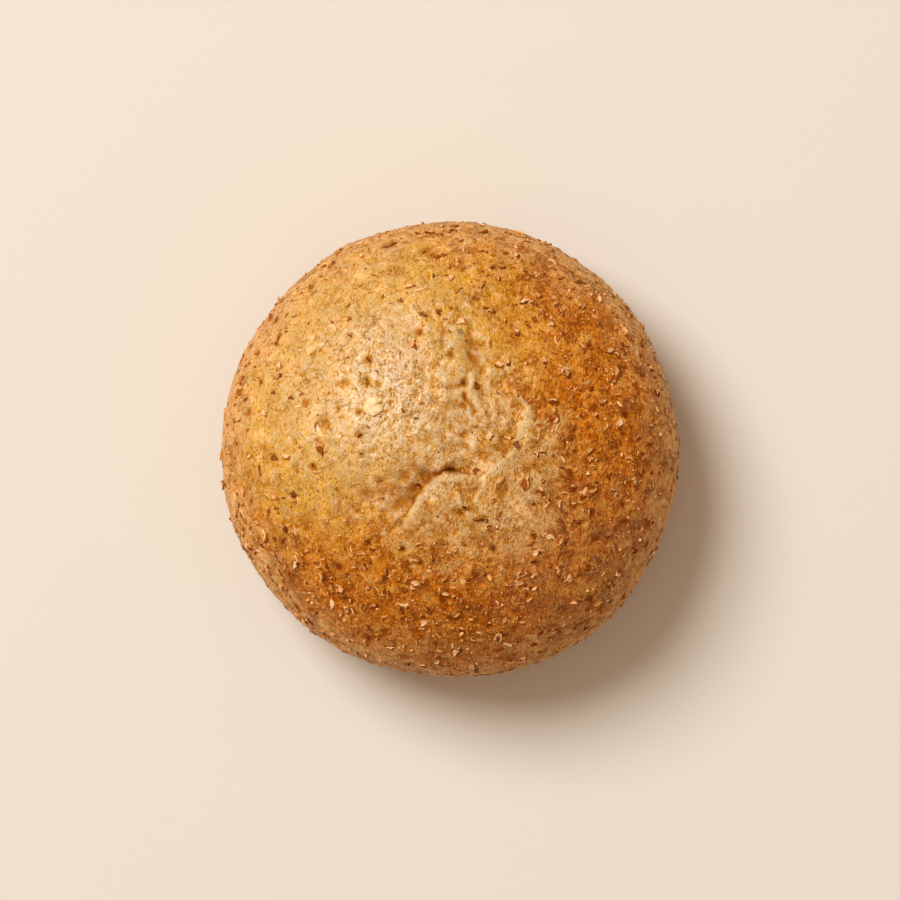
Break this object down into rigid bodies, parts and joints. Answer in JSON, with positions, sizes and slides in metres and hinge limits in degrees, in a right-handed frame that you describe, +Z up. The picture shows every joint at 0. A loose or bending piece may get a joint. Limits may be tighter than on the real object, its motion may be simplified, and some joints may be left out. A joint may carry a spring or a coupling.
{
  "type": "whole wheat roll",
  "caption": "Round whole wheat bread roll, uncut, with a golden brown crust, creases across its top and bran flakes baked in.",
  "frame": {"origin": "middle of the flat foot that the roll rests on", "axes": "+Z up through the middle of the roll; +X to the right and +Y away, as the roll is seen from straight above"},
  "size_m": [0.1007, 0.1005, 0.054],
  "materials": {
    "crust": "baked bread crust: golden to orange brown, finely wrinkled, with a soft sheen on top"
  },
  "bodies": {
    "root": {"roll": "crust"}
  },
  "joints": []
}
